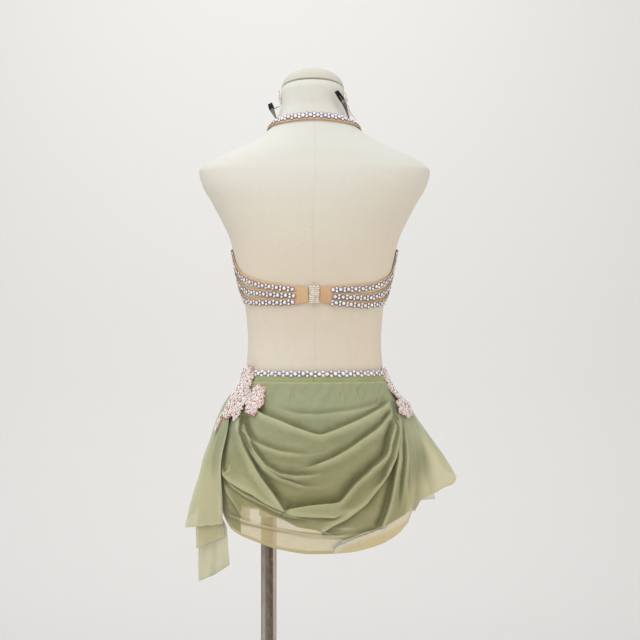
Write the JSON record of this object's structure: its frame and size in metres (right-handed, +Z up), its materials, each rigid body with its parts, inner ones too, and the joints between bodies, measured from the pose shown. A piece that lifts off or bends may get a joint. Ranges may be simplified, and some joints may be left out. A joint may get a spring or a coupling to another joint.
{
  "type": "lyrical dance costume on dress form",
  "caption": "Two-piece lyrical dance costume, halter bra top and draped mesh skirt with lace hips, worn on a limbless dress form on a pole stand.",
  "frame": {"origin": "centre of the base plate's underside, on the axis of the pole", "axes": "+Z up along the pole, front of the body towards -Y, wearer's left towards +X"},
  "size_m": [0.4791, 0.34, 1.4966],
  "materials": {
    "base_metal": "dark powder coat",
    "pole_metal": "worn, mottled steel tube",
    "form_linen": "cream linen jersey stretched over the form",
    "form_cap_linen": "pale linen neck cap",
    "sage_knit": "matt sage green stretch knit",
    "sage_mesh": "sheer sage green stretch mesh",
    "nude_elastic": "nude elastic",
    "clear_plastic": "clear moulded hook clasp",
    "pink_lace": "pink corded lace",
    "black_clip_metal": "black enamel"
  },
  "bodies": {
    "root": {"base_plate": "base_metal", "base_collar": "base_metal", "pole": "pole_metal", "pole_socket": "form_linen", "form_torso": "form_linen", "form_neck_cap": "form_cap_linen", "bra_cup_left": "sage_knit", "bra_cup_right": "sage_knit", "halter_strap": "nude_elastic", "back_strap_left_top": "nude_elastic", "back_strap_left_middle": "nude_elastic", "back_strap_left_bottom": "nude_elastic", "back_strap_right_top": "nude_elastic", "back_strap_right_middle": "nude_elastic", "back_strap_right_bottom": "nude_elastic", "back_tab_left": "nude_elastic", "back_tab_right": "nude_elastic", "back_clasp": "clear_plastic", "waistband": "sage_knit", "briefs_back": "sage_knit", "briefs_front": "sage_knit", "briefs_gusset": "sage_knit", "skirt_back_drape": "sage_mesh", "skirt_left_flare": "sage_mesh", "skirt_left_tail_long": "sage_mesh", "skirt_left_tail_short": "sage_mesh", "skirt_right_fan": "sage_mesh", "skirt_front": "sage_mesh", "lace_left_side": "pink_lace", "lace_left_upper": "pink_lace", "lace_left_lower": "pink_lace", "lace_left_tip": "pink_lace", "lace_right_upper": "pink_lace", "lace_right_lower": "pink_lace", "hair_clip_left": "black_clip_metal", "hair_clip_right": "black_clip_metal", "hair_lace_left": "pink_lace", "hair_lace_right": "pink_lace"}
  },
  "joints": []
}
